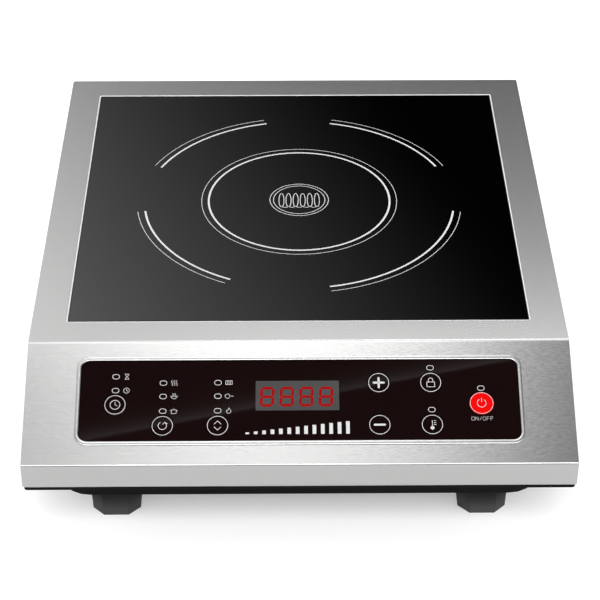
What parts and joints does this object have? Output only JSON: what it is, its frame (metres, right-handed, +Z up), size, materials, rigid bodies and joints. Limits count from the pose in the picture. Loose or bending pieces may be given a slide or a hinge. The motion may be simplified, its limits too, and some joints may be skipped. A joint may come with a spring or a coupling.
{
  "type": "induction hob",
  "caption": "Countertop induction hob with a folded steel body, square glass top, sloping key panel with display, black base tray and square feet.",
  "frame": {"origin": "centre of the footprint, on the surface the feet stand on", "axes": "+Z up, -Y towards the sloping control panel, +X to the user's right"},
  "size_m": [0.33, 0.4, 0.105],
  "materials": {
    "steel": "stainless sheet, brushed from side to side",
    "zinc": "zinc-plated steel",
    "chrome_trim": "polished trim",
    "glass": "polished black ceramic glass with white printed rings",
    "silicone": "light grey silicone",
    "black_plastic": "fine-grained moulded black plastic",
    "foot_rubber": "dark grey moulded rubber",
    "panel_black": "glossy black film with white print",
    "key_red": "glossy red print with a white ring",
    "display_grey": "grey display face behind a clear window",
    "circuit_board": "green solder mask",
    "copper": "enamelled copper wire",
    "ferrite": "dark sintered ferrite",
    "mica": "pressed mica",
    "aluminium": "plain extrusion",
    "cream_plastic": "heat-proof moulded plastic",
    "capacitor_yellow": "film capacitor case"
  },
  "bodies": {
    "hob": {"steel_shell": "steel", "glass_frame": "zinc", "glass_plate": "glass", "glass_seal": "silicone", "base_tray": "black_plastic", "foot_front_left": "foot_rubber", "foot_front_right": "foot_rubber", "foot_back_left": "foot_rubber", "foot_back_right": "foot_rubber", "foot_screw_front_left": "zinc", "foot_screw_front_right": "zinc", "foot_screw_back_left": "zinc", "foot_screw_back_right": "zinc", "case_screw_front_left": "zinc", "case_screw_front_right": "zinc", "case_screw_back_left": "zinc", "case_screw_back_right": "zinc", "panel_bezel": "chrome_trim", "panel_plate": "panel_black", "display_window": "display_grey", "display_module": "black_plastic", "control_board": "circuit_board", "buzzer": "black_plastic", "induction_coil": "copper", "coil_carrier": "cream_plastic", "ferrite_bar_1": "ferrite", "ferrite_bar_2": "ferrite", "ferrite_bar_3": "ferrite", "ferrite_bar_4": "ferrite", "ferrite_bar_5": "ferrite", "ferrite_bar_6": "ferrite", "mica_sheet": "mica", "temperature_sensor": "cream_plastic", "coil_post_1": "cream_plastic", "coil_post_2": "cream_plastic", "coil_post_3": "cream_plastic", "power_board": "circuit_board", "heat_sink": "aluminium", "power_transistor": "black_plastic", "bridge_rectifier": "black_plastic", "filter_capacitor": "capacitor_yellow", "resonant_capacitor": "capacitor_yellow", "supply_transformer": "ferrite", "choke": "copper", "fan_frame": "black_plastic", "cord_gland": "black_plastic", "gland_nut": "black_plastic", "terminal_block": "cream_plastic"},
    "timer_key": {"key_timer": "panel_black"},
    "auto_key": {"key_auto": "panel_black"},
    "select_key": {"key_select": "panel_black"},
    "plus_key": {"key_plus": "panel_black"},
    "minus_key": {"key_minus": "panel_black"},
    "lock_key": {"key_lock": "panel_black"},
    "temp_key": {"key_temp": "panel_black"},
    "power_key": {"key_power": "key_red"},
    "fan": {"fan_rotor": "black_plastic"}
  },
  "joints": [
    {"name": "timer_press", "type": "slide", "parent": "hob", "child": "timer_key", "axis": [0, 0.4473, -0.8944], "range_m": [0, 0.0005], "stiffness_N_per_m": 800},
    {"name": "auto_press", "type": "slide", "parent": "hob", "child": "auto_key", "axis": [0, 0.4473, -0.8944], "range_m": [0, 0.0005], "stiffness_N_per_m": 800},
    {"name": "select_press", "type": "slide", "parent": "hob", "child": "select_key", "axis": [0, 0.4473, -0.8944], "range_m": [0, 0.0005], "stiffness_N_per_m": 800},
    {"name": "plus_press", "type": "slide", "parent": "hob", "child": "plus_key", "axis": [0, 0.4473, -0.8944], "range_m": [0, 0.0005], "stiffness_N_per_m": 800},
    {"name": "minus_press", "type": "slide", "parent": "hob", "child": "minus_key", "axis": [0, 0.4473, -0.8944], "range_m": [0, 0.0005], "stiffness_N_per_m": 800},
    {"name": "lock_press", "type": "slide", "parent": "hob", "child": "lock_key", "axis": [0, 0.4473, -0.8944], "range_m": [0, 0.0005], "stiffness_N_per_m": 800},
    {"name": "temp_press", "type": "slide", "parent": "hob", "child": "temp_key", "axis": [0, 0.4473, -0.8944], "range_m": [0, 0.0005], "stiffness_N_per_m": 800},
    {"name": "power_press", "type": "slide", "parent": "hob", "child": "power_key", "axis": [0, 0.4473, -0.8944], "range_m": [0, 0.0005], "stiffness_N_per_m": 800},
    {"name": "fan_spin", "type": "hinge", "parent": "hob", "child": "fan", "pos_m": [-0.1, 0.0455, 0.0411], "axis": [0, 0, 1], "continuous": true}
  ]
}
